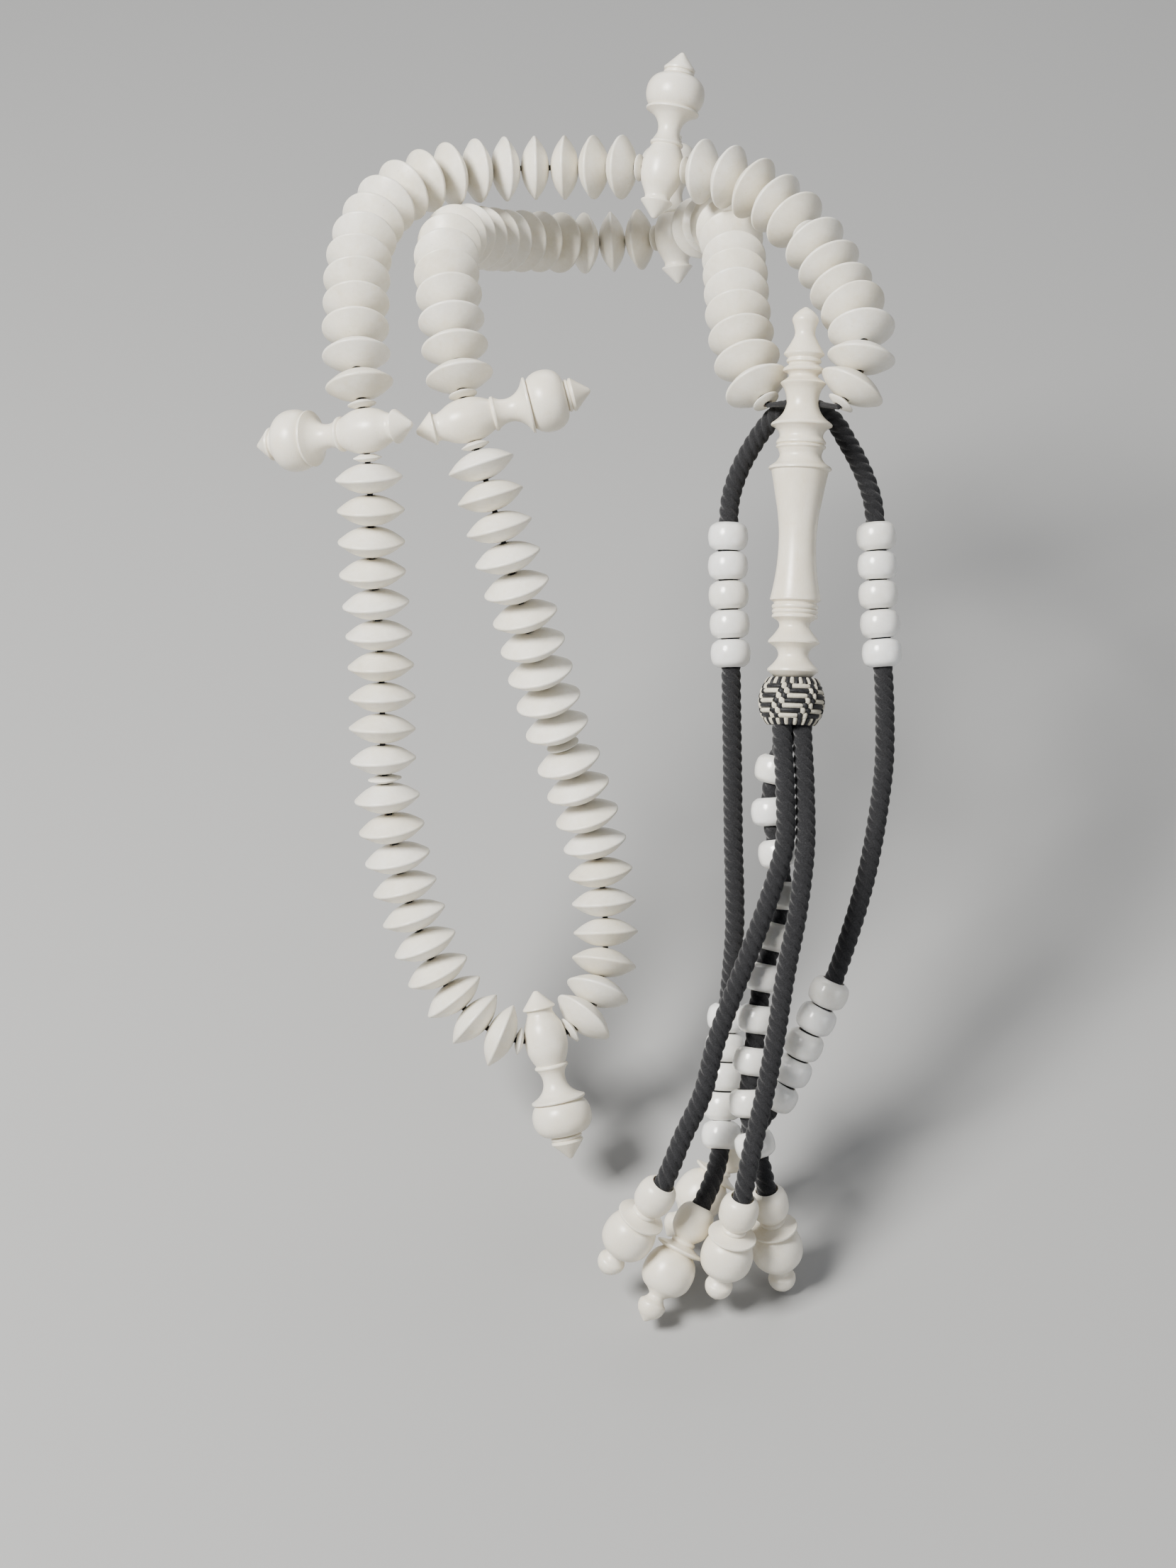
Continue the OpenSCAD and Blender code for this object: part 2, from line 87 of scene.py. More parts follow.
class Route:
    """A curve through points, read by its running length."""

    def __init__(self, points, n):
        self.q = smooth(points, n)
        self.s = [0.0]
        for a, b in zip(self.q, self.q[1:]):
            self.s.append(self.s[-1] + (b - a).length)
        self.length = self.s[-1]

    def at(self, x):
        if x <= 0:
            return self.q[0].copy()
        if x >= self.length:
            return self.q[-1].copy()
        lo, hi = 0, len(self.s) - 1
        while hi - lo > 1:
            m = (lo + hi) // 2
            if self.s[m] <= x:
                lo = m
            else:
                hi = m
        return self.q[lo].lerp(self.q[hi], (x - self.s[lo]) / (self.s[hi] - self.s[lo]))

    def heading(self, x):
        return (self.at(x + 1) - self.at(x - 1)).normalized()


def aim(pos, direction):
    """Matrix that puts Z along direction at pos (millimetres)."""
    d = unit(direction)
    polar = math.acos(max(-1, min(1, d.z)))
    turn = math.atan2(d.y, d.x)
    return Matrix.Translation(pos) @ Matrix.Rotation(turn, 4, "Z") @ Matrix.Rotation(polar, 4, "Y")


def rounded(rows, n):
    """2D rows of (height, radius) made smooth."""
    return [(v.x, v.y) for v in smooth([(a, b, 0) for a, b in rows], n)]


def lathe(rows, seg, loop=False):
    """Vertices and faces of a solid of revolution; loop closes the outline on itself."""
    verts, faces = [], []
    m = len(rows)
    for z, r in rows:
        for k in range(seg):
            a = 2 * math.pi * k / seg
            verts.append(Vector((r * math.cos(a), r * math.sin(a), z)))
    for i in range(m if loop else m - 1):
        j = (i + 1) % m
        for k in range(seg):
            n = (k + 1) % seg
            faces.append((i * seg + k, i * seg + n, j * seg + n, j * seg + k))
    if not loop:
        faces.append(tuple(range(seg - 1, -1, -1)))
        faces.append(tuple((m - 1) * seg + k for k in range(seg)))
    size = sum(verts[g[0]].dot(verts[g[i]].cross(verts[g[i + 1]]))
               for g in faces for i in range(1, len(g) - 1))
    if size < 0:
        faces = [tuple(reversed(g)) for g in faces]
    return verts, faces


def build(name, parts, mat, body, nodes=(), sharp=32, tones=None):
    """One object from parts of (verts, faces, matrix), in millimetres."""
    verts, faces, tone = [], [], []
    for n, (v, f, m) in enumerate(parts):
        k = len(verts)
        verts += [(m @ q) * MM for q in v]
        faces += [tuple(i + k for i in g) for g in f]
        tone += [tones[n] if tones else 0.5] * len(v)
    mesh = bpy.data.meshes.new(name)
    mesh.from_pydata(verts, [], faces)
    layer = mesh.attributes.new("tone", "FLOAT", "POINT")
    layer.data.foreach_set("value", tone)
    mesh.polygons.foreach_set("use_smooth", [True] * len(mesh.polygons))
    mesh.set_sharp_from_angle(angle=math.radians(sharp))
    mesh.update()
    obj = bpy.data.objects.new(name, mesh)
    bpy.context.collection.objects.link(obj)
    for one in mat if isinstance(mat, (list, tuple)) else [mat]:
        mesh.materials.append(one)
    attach(obj, body)
    if nodes:
        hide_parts(*nodes)
    return obj


# ---------------------------------------------------------------- materials
def nodes_of(name):
    m = bpy.data.materials.new(name)
    m.use_nodes = True
    return m, m.node_tree.nodes, m.node_tree.links, m.node_tree.nodes["Principled BSDF"]


def noise(nodes, links, source, scale, detail=4.0, rough=0.6):
    n = nodes.new("ShaderNodeTexNoise")
    n.inputs["Scale"].default_value = scale
    n.inputs["Detail"].default_value = detail
    n.inputs["Roughness"].default_value = rough
    links.new(source, n.inputs["Vector"])
    return n


def ramp(nodes, links, source, stops):
    r = nodes.new("ShaderNodeValToRGB")
    while len(r.color_ramp.elements) < len(stops):
        r.color_ramp.elements.new(0.5)
    for e, (pos, col) in zip(r.color_ramp.elements, stops):
        e.position = pos
        e.color = (*col, 1) if len(col) == 3 else col
    links.new(source, r.inputs["Fac"])
    return r


def mix(nodes, links, fac, a, b, kind="MIX"):
    m = nodes.new("ShaderNodeMix")
    m.data_type = "RGBA"
    m.blend_type = kind
    for socket, value in ((m.inputs[0], fac), (m.inputs[6], a), (m.inputs[7], b)):
        if hasattr(value, "is_output"):
            links.new(value, socket)
        elif isinstance(value, (int, float)):
            socket.default_value = value
        else:
            socket.default_value = (*value, 1)
    return m.outputs[2]


def ivory(name, light, dark, patch, rough, coat, grain, pits=0.0, bump=0.05, sss=0.12):
    """Turned bone-like material: broad patches, fine grain and small pits."""
    m, nodes, links, bsdf = nodes_of(name)
    place = nodes.new("ShaderNodeTexCoord").outputs["Object"]
    stretch = nodes.new("ShaderNodeMapping")
    stretch.inputs["Scale"].default_value = grain
    links.new(place, stretch.inputs["Vector"])
    broad = noise(nodes, links, place, 130, 3)
    spots = noise(nodes, links, place, 420, 5, 0.65)
    fine = noise(nodes, links, stretch.outputs[0], 900, 6, 0.7)
    col = ramp(nodes, links, broad.outputs["Fac"], [(0.35, dark), (0.62, light)]).outputs[0]
    hint = ramp(nodes, links, spots.outputs["Fac"],
                [(0.58, (0, 0, 0)), (0.74, (1, 1, 1))]).outputs[0]
    half = nodes.new("ShaderNodeMath")
    half.operation = "MULTIPLY"
    half.inputs[1].default_value = 0.5
    links.new(hint, half.inputs[0])
    col = mix(nodes, links, half.outputs[0], col, patch)
    streak = ramp(nodes, links, fine.outputs["Fac"],
                  [(0.35, (0.93, 0.92, 0.89)), (0.6, (1, 1, 1))]).outputs[0]
    col = mix(nodes, links, 0.8, col, streak, "MULTIPLY")
    tone = nodes.new("ShaderNodeAttribute")
    tone.attribute_name = "tone"
    shade = ramp(nodes, links, tone.outputs["Fac"],
                 [(0.0, (0.95, 0.93, 0.88)), (1.0, (1.0, 1.0, 1.0))]).outputs[0]
    col = mix(nodes, links, 1.0, col, shade, "MULTIPLY")
    height = fine.outputs["Fac"]
    if pits:
        cell = nodes.new("ShaderNodeTexVoronoi")
        cell.inputs["Scale"].default_value = 700
        links.new(place, cell.inputs["Vector"])
        dot = ramp(nodes, links, cell.outputs["Distance"],
                   [(0.05, (0, 0, 0)), (0.13, (1, 1, 1))]).outputs[0]
        few = ramp(nodes, links, noise(nodes, links, place, 260, 2).outputs["Fac"],
                   [(0.5, (1, 1, 1)), (0.62, (0, 0, 0))]).outputs[0]
        pit = mix(nodes, links, few, dot, (1, 1, 1))
        hollow = mix(nodes, links, pit, (0.55, 0.48, 0.36), (1, 1, 1))
        col = mix(nodes, links, pits, col, hollow, "MULTIPLY")
        height = mix(nodes, links, 0.5, fine.outputs["Fac"], pit)
    links.new(col, bsdf.inputs["Base Color"])
    matt = ramp(nodes, links, spots.outputs["Fac"],
                [(0.3, (rough - 0.06,) * 3), (0.7, (rough + 0.1,) * 3)]).outputs[0]
    links.new(matt, bsdf.inputs["Roughness"])
    b = nodes.new("ShaderNodeBump")
    b.inputs["Strength"].default_value = bump
    b.inputs["Distance"].default_value = 0.0004
    links.new(height, b.inputs["Height"])
    links.new(b.outputs[0], bsdf.inputs["Normal"])
    bsdf.inputs["Coat Weight"].default_value = coat
    bsdf.inputs["Coat Roughness"].default_value = 0.28
    bsdf.inputs["IOR"].default_value = 1.52
    bsdf.inputs["Subsurface Weight"].default_value = sss
    bsdf.inputs["Subsurface Radius"].default_value = (0.0012, 0.0009, 0.0006)
    bsdf.inputs["Subsurface Scale"].default_value = 1.0
    return m


def yarn(name, dark, light, scale, sheen, bump=0.5):
    m, nodes, links, bsdf = nodes_of(name)
    place = nodes.new("ShaderNodeTexCoord").outputs["Object"]
    fine = noise(nodes, links, place, scale, 6, 0.75)
    big = noise(nodes, links, place, scale / 8, 3)
    # The light colour mixed in by the fine noise is painted fibre glints: specks of painted
    # highlight in the yarn's base colour.
    col = ramp(nodes, links, fine.outputs["Fac"], [(0.42, dark), (0.75, light)]).outputs[0]
    col = mix(nodes, links, 0.6, col, ramp(nodes, links, big.outputs["Fac"],
              [(0.35, (0.55, 0.55, 0.58)), (0.65, (1, 1, 1))]).outputs[0], "MULTIPLY")
    links.new(col, bsdf.inputs["Base Color"])
    bsdf.inputs["Roughness"].default_value = 0.82
    bsdf.inputs["Sheen Weight"].default_value = sheen
    bsdf.inputs["Sheen Roughness"].default_value = 0.4
    bsdf.inputs["Specular IOR Level"].default_value = 0.3
    b = nodes.new("ShaderNodeBump")
    b.inputs["Strength"].default_value = bump
    b.inputs["Distance"].default_value = 0.0003
    links.new(fine.outputs["Fac"], b.inputs["Height"])
    links.new(b.outputs[0], bsdf.inputs["Normal"])
    return m


LENS = ivory("lens_bead", (0.90, 0.875, 0.81), (0.84, 0.805, 0.715), (0.80, 0.72, 0.56),
             0.40, 0.25, (1, 1, 1), pits=0.35, bump=0.12)
TURNED = ivory("turned_ivory", (0.90, 0.86, 0.77), (0.85, 0.80, 0.69), (0.81, 0.73, 0.56),
               0.34, 0.35, (6, 6, 0.8), bump=0.06)
HEAD = ivory("head_ivory", (0.90, 0.85, 0.745), (0.84, 0.78, 0.655), (0.79, 0.70, 0.52),
             0.33, 0.4, (6, 1, 0.7), bump=0.06)
DISC = ivory("disc_white", (0.86, 0.845, 0.80), (0.80, 0.78, 0.72), (0.8, 0.76, 0.66),
             0.55, 0.0, (3, 3, 3), bump=0.25, sss=0.05)
RING = ivory("ring_white", (0.90, 0.905, 0.90), (0.87, 0.87, 0.86), (0.85, 0.84, 0.81),
             0.2, 0.7, (1, 1, 1), bump=0.02, sss=0.1)
# The second colour of each yarn is its painted fibre-glint colour.
CORD = yarn("cord_yarn", (0.006, 0.006, 0.007), (0.05, 0.05, 0.055), 5200, 0.35)
STRING = yarn("string_yarn", (0.01, 0.01, 0.011), (0.05, 0.05, 0.055), 7000, 0.2)
STRIP_BLACK = yarn("strip_black", (0.008, 0.008, 0.009), (0.04, 0.04, 0.045), 2600, 0.1, 0.25)
STRIP_BLACK.node_tree.nodes["Principled BSDF"].inputs["Roughness"].default_value = 0.5
STRIP_CREAM = yarn("strip_cream", (0.62, 0.57, 0.44), (0.80, 0.77, 0.67), 2600, 0.1, 0.3)

# ---------------------------------------------------------------- camera, floor, light
cam_data = bpy.data.cameras.new("camera")
cam_data.sensor_fit = "VERTICAL"
cam_data.sensor_height = 36
cam_data.lens = 60
cam_data.clip_start = 0.02
cam_data.clip_end = 20
cam = bpy.data.objects.new("camera", cam_data)
cam.location = (0, -0.4563, 0.3047)
cam.rotation_euler = (math.radians(48), 0, 0)
bpy.context.collection.objects.link(cam)
bpy.context.scene.camera = cam

floor_mat, fn, fl, fb = nodes_of("floor")
fb.inputs["Base Color"].default_value = (0.36, 0.36, 0.358, 1)
fb.inputs["Roughness"].default_value = 0.9
bpy.ops.mesh.primitive_plane_add(size=6, location=(0, 0, cad_box[0][2] - 0.0005))
floor = bpy.context.object
floor.name = "floor"
floor.data.materials.append(floor_mat)


def area(name, loc, target, size, power, tint=(1, 1, 1)):
    d = bpy.data.lights.new(name, "AREA")
    d.shape = "RECTANGLE"
    d.size, d.size_y = size
    d.energy = power
    d.color = tint
    o = bpy.data.objects.new(name, d)
    o.location = loc
    o.rotation_euler = (Vector(target) - Vector(loc)).to_track_quat("-Z", "Y").to_euler()
    bpy.context.collection.objects.link(o)


area("key", (-0.55, -0.35, 0.75), (0, 0, -0.03), (0.32, 0.32), 25, (1, 0.985, 0.95))
area("fill", (0.8, -0.7, 0.35), (0, -0.03, -0.05), (0.6, 0.6), 2.4, (0.96, 0.98, 1))
area("back", (0.1, 0.8, 0.7), (0, 0, -0.03), (0.9, 0.5), 5)
world = bpy.data.worlds.new("world")
world.use_nodes = True
world.node_tree.nodes["Background"].inputs[0].default_value = (0.9, 0.93, 1, 1)
world.node_tree.nodes["Background"].inputs[1].default_value = 0.2
bpy.context.scene.world = world

# ---------------------------------------------------------------- cords
LEAN = math.radians(42)
SL, CL = math.sin(LEAN), math.cos(LEAN)


def leaning(p):
    """(across, down the lean, out to the front) in mm to the row frame in mm."""
    return Vector((p[0], -p[1] * SL - p[2] * CL, -p[1] * CL + p[2] * SL))


CORD_R = 2.0
# Each cord's route from its upper end to its pendant.
ROUTES = {
    "a": [(43.2, 1.3, 1.4), (40.5, 1.3, 1.3), (37.4, 4.1, -0.1), (34.3, 8.4, -1.5),
          (31.2, 14.5, -2.6), (29.6, 20.5, -3), (29.4, 24, -3), (29.9, 55, -3.3),
          (30.4, 90, -3.7), (30.6, 111, -4), (30, 119, -4.8), (29.2, 127.5, -5.2),
          (28.3, 142, -5), (28, 150, -4.6), (27.8, 154, -4), (27, 158.4, -2.8),
          (25.5, 162.6, -1.4), (23.5, 166.6, -0.2)],
    "b": [(44.8, 1.3, 1.4), (47.5, 1.3, 1.3), (50.5, 3, 0.4), (54.2, 8, -1.2),
          (57.5, 14, -2.6), (59.5, 20, -3), (60, 24, -3), (60.7, 39.5, -3.2),
          (62.1, 66, -3.6), (62, 74, -3.8), (60.9, 84, -4.2), (58.4, 98, -5),
          (54.5, 112, -6.2), (50.9, 122.5, -7.8), (46, 133, -9.4), (41.5, 143, -11),
          (37.3, 149.6, -12), (33.3, 154.3, -12.6)],
    "c": [(39.7, 61.2, 8.5), (39.6, 67, 9), (40.2, 80, 10.4), (40, 91.5, 10.5),
          (37.8, 99.5, 10.5), (34.3, 109.5, 10.5), (29.3, 122.5, 10.5), (26.1, 131.5, 10.5),
          (23.2, 142.5, 10.5), (19, 151.5, 10.8), (17, 156.5, 11.2), (15.4, 160.3, 10.6)],
    "d": [(43.8, 61.2, 8.5), (43.8, 67, 8.5), (44.3, 80, 9.3), (44.3, 91.5, 10.2),
          (42.8, 104.5, 10.5), (40.3, 117.5, 10.5), (38, 132, 10.5), (35.5, 144.5, 10.5),
          (33.6, 152.5, 11), (32.3, 158.5, 11.6), (31.5, 163, 10.9)],
    "e": [(41.7, 61.2, 4.9), (41.4, 67, 4.3), (38.7, 75.5, 3.3), (37.8, 84, 3.1),
          (39.3, 93, 3.3), (40, 101.5, 3.3), (38.4, 110, 3.3), (36.2, 118.5, 3.3),
          (35, 127, 3.3), (34.1, 135.5, 3.3), (33.2, 144, 3.3), (34, 151.5, 3.4),
          (35.7, 157.5, 3.7), (36.9, 162.6, 3.2)],
}
DOWN = {"a": (-0.45, 0.89, 0.08), "b": (-0.62, 0.78, 0), "c": (-0.46, 0.77, -0.44),
        "d": (-0.19, 0.87, -0.45), "e": (0.17, 0.88, -0.44)}
CORD_IN = 2.0
NODE = {"a": "cord_a", "b": "cord_b", "c": "cord_c", "d": "cord_d_left", "e": "cord_e"}
BODY = {"a": "strand", "b": "strand", "c": "head", "d": "head", "e": "head"}
route = {k: Route([leaning(p) for p in r]
                  + [leaning(Vector(r[-1]) + unit(DOWN[k]) * CORD_IN)], 10)
         for k, r in ROUTES.items()}


def rope(r, radius, lead, starts, depth, step, sides):
    """A laid rope along route r: starts strands twisted with that lead."""
    n = max(2, round(r.length / step))
    pts = [r.at(r.length * i / n) for i in range(n + 1)]
    verts, faces = [], []
    w = None
    for i, p in enumerate(pts):
        t = (pts[min(i + 1, n)] - pts[max(i - 1, 0)]).normalized()
        w = t.orthogonal().normalized() if w is None else (w - t * w.dot(t)).normalized()
        v = t.cross(w)
        turn = -2 * math.pi * (r.length * i / n) / lead
        for k in range(sides):
            a = 2 * math.pi * k / sides
            wave = abs(math.sin(starts / 2 * (a - turn)))
            rad = radius * (1.03 - depth + depth * math.sqrt(wave))
            rad *= 1 + 0.012 * math.sin(17 * a + 2.1 * i)
            verts.append(p + rad * (math.cos(a) * w + math.sin(a) * v))
    for i in range(n):
        for k in range(sides):
            m = (k + 1) % sides
            faces.append((i * sides + k, i * sides + m, (i + 1) * sides + m, (i + 1) * sides + k))
    faces.append(tuple(range(sides - 1, -1, -1)))
    faces.append(tuple(n * sides + k for k in range(sides)))
    return verts, faces


LAY_LENGTH, LAY_STRANDS, GROOVE = 8.6, 4, 0.3
ROPE_STEP, ROPE_SIDES = 0.3, 48
ONE = Matrix.Identity(4)
for k in "abcde":
    v, f = rope(route[k], CORD_R, LAY_LENGTH, LAY_STRANDS, GROOVE, ROPE_STEP, ROPE_SIDES)
    build("cord_" + k + "_yarn", [(v, f, ONE)], CORD, BODY[k],
                        [NODE[k]], sharp=70)

# ---------------------------------------------------------------- the string of beads
NECK = Vector((44, -5.8, 4))
MIDDLE = (-9, -77, -111)
LEFT = [(37.2, -3.6, 2.2), (35, 0.5, 4), (32, 13, 8.5), (31.5, 26, 11), (31.5, 39, 11.5),
        (30.5, 54, 10.5), (25, 70, 1), (19.5, 76, -4.5), (12.5, 79.5, -7.5),
        (-0.5, 79.5, -8.5), (-11, 72.5, -4), (-18.5, 63.5, 1.5), (-24, 53.5, 8),
        (-28.5, 43, 14.5), (-30, 30, 17), (-29, 17, 15.5), (-27.5, 5, 10.5),
        (-24.5, -8, 1.5), (-20, -18, -10.5), (-16.5, -24.5, -21.5), (-13, -29, -33.5),
        (-10, -32.5, -45.5), (-6.5, -36, -58), (-2, -40.5, -71.5), (1.5, -45, -83),
        (3.5, -52, -94), (3.4, -61.5, -103.6), (-0.1, -70.7, -108.6),
        (-5.3, -75.4, -110.6), MIDDLE]
RIGHT = [MIDDLE, (-14.7, -77.8, -110.1), (-19.9, -76.7, -108.7),
         (-28.4, -71.6, -103.4), (-35, -65, -92.5),
         (-39, -58.5, -82), (-41.5, -52.5, -70.5), (-43, -45, -57.5), (-43, -38, -46.5),
         (-43.5, -31.5, -35), (-44.5, -26, -23), (-44.5, -20.5, -11), (-45.5, -12, 2.5),
         (-47.5, 0.5, 12.5), (-48, 13, 17), (-48, 25.5, 20), (-45.5, 38.5, 21.5),
         (-39.5, 50, 22), (-29.5, 58.5, 21), (-17, 63.5, 19.5), (-4, 64, 19.5),
         (8.5, 60.5, 21.5), (17, 57, 23), (31, 49.5, 25), (40.5, 40.5, 23.5),
         (48, 28, 21), (53, 16, 17.4), (56.2, 3.1, 14.7), (54.2, -5.7, 8.7), (50.9, -9.4, 5.6)]
side = (Route(LEFT, 6), Route(RIGHT, 6))
# Pieces from the middle marker outwards, on both sides: marker, spacer, bead, large disc.
ORDER = "ms" + "b" * 10 + "d" + "b" * 10 + "sms" + "b" * 18 + "sms" + "b" * 5 + "s" + "b" * 7 + "s"
# Half the room each kind of piece takes on the string; the middle marker takes more.
HALF = {"b": 3.3, "s": 0.85, "d": 0.85, "m": 4.65}
MIDDLE_HALF = 5
offsets = [0.0]
for a, b in zip(ORDER, ORDER[1:]):
    offsets.append(offsets[-1] + (HALF[a] if offsets[1:] else MIDDLE_HALF) + HALF[b])
FULL = offsets[-1] + 1.05


def spot(s, i):
    r = side[s]
    x = offsets[i] * r.length / FULL
    x = r.length - x if s == 0 else x
    return r.at(x), r.heading(x)


BEAD_R, BEAD_T, BORE_R = 7.0, 6.3, 0.95
rnd = random.Random(7)


FLANK = math.radians(38)
RIM_R = 0.42


def lens_rows(t, big):
    """Outline of a lens bead: ball caps, tangent flanks and a rounded rim."""
    sin_f, cos_f, tan_f = math.sin(FLANK), math.cos(FLANK), math.tan(FLANK)
    edge = big + RIM_R * (1 / sin_f - 1)
    cap = (edge - t / 2 / tan_f) / (sin_f - (1 - cos_f) / tan_f)
    join = cap * sin_f
    rim_start = big - RIM_R + RIM_R * sin_f
    up = []
    for k in range(11):
        r = BORE_R + 0.12 + (join - BORE_R - 0.12) * k / 10
        up.append((math.sqrt(cap * cap - r * r) - (cap - t / 2), r))
    for k in (1, 2, 3):
        r = join + (rim_start - join) * k / 3
        up.append(((edge - r) * tan_f, r))
    for k in range(1, 5):
        a = (math.pi / 2 - FLANK) * (1 - k / 5)
        up.append((RIM_R * math.sin(a), big - RIM_R + RIM_R * math.cos(a)))
    rows = [(up[0][0] - 0.12, BORE_R)] + up + [(0, big)]
    return rows + [(-h, r) for h, r in reversed(up)] + [(0.12 - up[0][0], BORE_R)]


RUNS = {"lens_run_1": (0, 47, 59), "lens_run_2": (0, 26, 43), "lens_run_3": (0, 2, 22),
        "lens_run_4": (1, 2, 22), "lens_run_5": (1, 26, 43), "lens_run_6": (1, 47, 59)}
for name, (s, first, last) in RUNS.items():
    parts, tones = [], []
    for i in range(first, last + 1):
        if ORDER[i] != "b":
            continue
        p, d = spot(s, i)
        big = BEAD_R * rnd.uniform(0.985, 1.0)
        m = aim(p, d) @ Matrix.Rotation(rnd.uniform(0, 6.28), 4, "Z")
        m = m @ Matrix.Rotation(math.radians(rnd.uniform(-0.9, 0.9)), 4, "X")
        v, f = lathe(lens_rows(BEAD_T * rnd.uniform(0.985, 1.0), big), 72, True)
        parts.append((v, f, m))
        tones.append(rnd.random())
    build(name + "_beads", parts, LENS, "strand", [name], sharp=50, tones=tones)

parts, tones = [], []
for s in (0, 1):
    for i, c in enumerate(ORDER):
        if c in "sd":
            p, d = spot(s, i)
            big = 3.55 if c == "d" else 2.95
            rows = [(-0.72, BORE_R), (-0.75, BORE_R + 0.1), (-0.74, big * 0.5), (-0.33, big * 0.8),
                    (-0.1, big - 0.04), (0, big), (0.1, big - 0.04), (0.33, big * 0.8),
                    (0.74, big * 0.5), (0.75, BORE_R + 0.1), (0.72, BORE_R)]
            v, f = lathe(rows, 48, True)
            parts.append((v, f, aim(p, d)))
            tones.append(rnd.random())
build("spacers", parts, DISC, "strand", ["spacer_discs"], sharp=60, tones=tones)

BELLY = 11
MARKER = ([(0, 0.25), (0.08, 0.45), (0.3, 0.7), (3.45, 3.42), (3.6, 3.5), (3.75, 3.5), (3.9, 3.3)]
          + rounded([(4, 2.9), (4.6, 2.75), (5.6, 3.1), (7.5, 4.05), (9.3, 4.5), (BELLY, 4.6),
                     (12.8, 4.45), (14.6, 3.85), (16, 3.15)], 6)
          + [(16.2, 3.5), (16.4, 3.6), (16.6, 3.6), (16.8, 3.5)]
          + rounded([(16.9, 3.3), (17.8, 2.75), (19.7, 2.45), (21.3, 2.95), (22.6, 4.1),
                     (23.3, 5.3)], 6)
          + [(23.5, 5.75), (23.65, 5.8), (23.85, 5.8), (24, 5.7)]
          + rounded([(24.05, 4.9), (25, 5.75), (26.2, 6.25), (27.6, 6.4), (29, 6.2),
                     (30.2, 5.6), (31.1, 4.6), (31.5, 3.5)], 6)
          + [(31.6, 3), (31.8, 3.35), (32.2, 3.35), (32.4, 3), (32.5, 3), (32.7, 3.4),
             (33.1, 3.45), (36.4, 0.6), (36.62, 0.35), (36.7, 0.15)])
# Side, place on it and wanted direction of each marker's long axis.
M_AT = {1: (0, 24, (0.97, 0.17, 0.19)), 2: None, 3: (1, 24, (-0.88, 0.2, -0.4)),
        4: (1, 45, (0.17, 0.66, 0.73)), 5: (0, 45, (-0.15, 0.66, 0.73))}
for n in range(1, 6):
    if n == 2:
        p = spot(0, 0)[0]
        d = (spot(0, 1)[1] + spot(1, 1)[1]).normalized()
        want = Vector((0.12, -0.67, -0.74))
    else:
        p, d = spot(*M_AT[n][:2])
        want = Vector(M_AT[n][2])
    long_axis = (want - d * want.dot(d)).normalized()
    v, f = lathe([(z - BELLY, r) for z, r in MARKER], 96)
    build(f"marker_{n}_turned", [(v, f, aim(p, long_axis))], TURNED, f"marker_{n}",
          [f"marker_{n}"], sharp=40, tones=[0.35 + 0.12 * n])

# ---------------------------------------------------------------- head piece
TILT = math.radians(2.1)
DOWN_HOLE, HEAD_LEN = 19.8, 76
on_head = Matrix.Translation(NECK) @ Matrix.Rotation(-LEAN, 4, "X") @ Matrix.Rotation(TILT, 4, "Y")
HEAD_ROWS = (rounded([(0, 0.3), (0.9, 1.6), (2.5, 2.7), (4, 2.3), (5.4, 2.05), (7.5, 2.9)], 5)
             + [(9.5, 4.12), (9.65, 4.18), (9.8, 4.15), (10.5, 3.3), (10.7, 3.3), (10.85, 3.55),
                (11.1, 3.62), (11.35, 3.55), (11.6, 3.15), (11.9, 3.1), (12.65, 4.15),
                (12.95, 4.26), (13.25, 4.15)]
             + rounded([(13.5, 3.4), (14.1, 2.95), (14.8, 3.6), (15.5, 4.55)], 4)
             + [(15.7, 4.66)]
             + rounded([(15.9, 4.55), (16.8, 3.9), (18, 3.45), (19.8, 3.3), (21.5, 3.8),
                        (23, 5), (23.9, 6.15)], 6)
             + [(24.15, 6.3), (24.4, 6.25)]
             + rounded([(24.7, 5.6), (25.6, 4.7), (26.8, 4.5), (27.4, 4.95)], 4)
             + [(27.7, 5.12), (28, 5.1), (28.3, 4.72), (28.5, 5.1), (28.85, 5.1)]
             + rounded([(29.1, 4.7), (30.5, 4.3), (31.7, 4.9), (32.8, 6.3)], 6)
             + [(33.05, 6.47), (33.35, 6.45)]
             + rounded([(33.6, 5.9), (35.5, 5.5), (38.8, 4.9), (42.5, 4.25), (46, 3.9),
                        (50.6, 3.9), (55, 4.3), (58, 4.8), (59.6, 5.12)], 5)
             + [(59.9, 5.22), (60.2, 5.15), (60.6, 4.4), (61, 4.35), (61.2, 4.7), (61.55, 4.8),
                (61.85, 4.7), (62.05, 4.38), (62.25, 4.66), (62.5, 4.74), (62.75, 4.66),
                (63, 4.38), (63.25, 4.66), (63.5, 4.74), (63.75, 4.66)]
             + rounded([(64, 4.2), (64.7, 3.3), (65.4, 3.1), (66.6, 3.7), (68.3, 5.1)], 5)
             + [(68.6, 5.3), (68.95, 5.25)]
             + rounded([(69.3, 4.6), (70.2, 3.5), (71.4, 3.1), (72.8, 3.8), (74.1, 5.05)], 5)
             + [(74.35, 5.22), (74.75, 5.2), (75.5, 4.3), (75.95, 3.75), (HEAD_LEN, 3.6)])
v, f = lathe([(DOWN_HOLE - z, r) for z, r in HEAD_ROWS], 112)
build("head_turned", [(v, f, on_head)], HEAD, "head", ["head_piece"], sharp=40, tones=[0.4])

# ---------------------------------------------------------------- woven bead
WOVEN_R, WOVEN_H = 6.85, 9.7
WOVEN_MID = DOWN_HOLE - HEAD_LEN - 0.05 - WOVEN_H / 2


def barrel(z):
    """Radius of the weave's ground at height z from its middle."""
    return math.sqrt(max(0.0, (WOVEN_R + 1) ** 2 - z * z)) - 1


tiles = {0: ([], []), 1: ([], [])}


